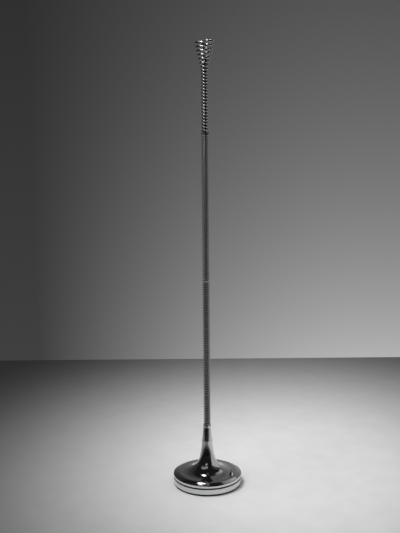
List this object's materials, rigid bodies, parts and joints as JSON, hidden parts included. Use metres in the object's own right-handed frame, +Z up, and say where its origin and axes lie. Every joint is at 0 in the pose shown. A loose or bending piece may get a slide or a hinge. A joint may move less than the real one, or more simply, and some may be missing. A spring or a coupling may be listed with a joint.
{
  "type": "telescopic floor lamp",
  "caption": "Slim chromed floor lamp on a weighted trumpet base, with a sliding tube stem inside a long coil spring that flares into an open cone shade.",
  "frame": {"origin": "on the floor, under the middle of the round base", "axes": "+Z up along the stem, -Y towards the viewer of the picture, +X to the viewer's right; the cord inlet faces +Y"},
  "size_m": [0.28, 0.28, 1.79],
  "materials": {
    "chrome_polished": "polished chrome plate",
    "chrome_spring": "polished chromed spring wire",
    "black_paint": "satin black lacquer",
    "cast_black": "black painted casting",
    "black_plastic": "moulded, matt",
    "rubber_foot": "moulded rubber",
    "steel_turned": "turned steel",
    "zinc_screw": "dark oxide steel",
    "nylon_bush": "turned nylon",
    "brass": "turned brass",
    "steatite_black": "glazed thermoset",
    "bulb_glass": "clear quartz",
    "tungsten": "tungsten wire",
    "winding_wrap": "amber polyester wrap",
    "terminal_grey": "moulded, pale grey",
    "wire_black": "insulated lead, black",
    "wire_brown": "insulated lead, brown"
  },
  "bodies": {
    "base": {"base_cover": "chrome_polished", "base_disc": "chrome_polished", "collar": "chrome_polished", "spring_seat": "chrome_polished", "switch_ferrule": "chrome_polished", "stem_spring": "chrome_spring", "outer_tube": "black_paint", "ballast": "cast_black", "spacer_ring": "black_plastic", "foot_ring": "rubber_foot", "cord_gland": "black_plastic", "gland_nut": "black_plastic", "tube_bush": "nylon_bush", "transformer_pad": "rubber_foot", "stem_socket": "steel_turned", "socket_bolts": "zinc_screw", "socket_screws": "zinc_screw", "seat_screws": "zinc_screw", "transformer_washer": "steel_turned", "transformer_nut": "steel_turned", "transformer": "winding_wrap", "terminal_block": "terminal_grey", "switch_body": "steatite_black", "switch_nut": "zinc_screw", "switch_lead": "wire_brown", "transformer_lead": "wire_brown", "lamp_lead": "wire_black", "curly_lead": "wire_black"},
    "upper": {"inner_tube": "black_paint", "slide_bush": "nylon_bush", "bush_rivets": "steel_turned", "junction_collar": "chrome_polished", "collar_screw": "zinc_screw", "spigot_rivets": "steel_turned", "lamp_pipe": "black_paint", "head_spring": "chrome_spring", "shade_spring": "chrome_spring", "holder_adapter": "black_paint", "lamp_holder": "steatite_black", "holder_contacts": "brass", "holder_screws": "zinc_screw", "bulb_glass": "bulb_glass", "bulb_pins": "tungsten", "bulb_filament": "tungsten", "upper_lead": "wire_black"},
    "lever": {"switch_lever": "chrome_polished"}
  },
  "joints": [
    {"name": "telescope", "type": "slide", "parent": "base", "child": "upper", "axis": [0, 0, 1], "range_m": [-0.45, 0], "deforming": ["stem_spring", "curly_lead"]},
    {"name": "switch_toggle", "type": "hinge", "parent": "base", "child": "lever", "pos_m": [0.09644, -0.05346, 0.05776], "axis": [0.8728, -0.4838, -0.0652], "range_deg": [0, 26]}
  ]
}
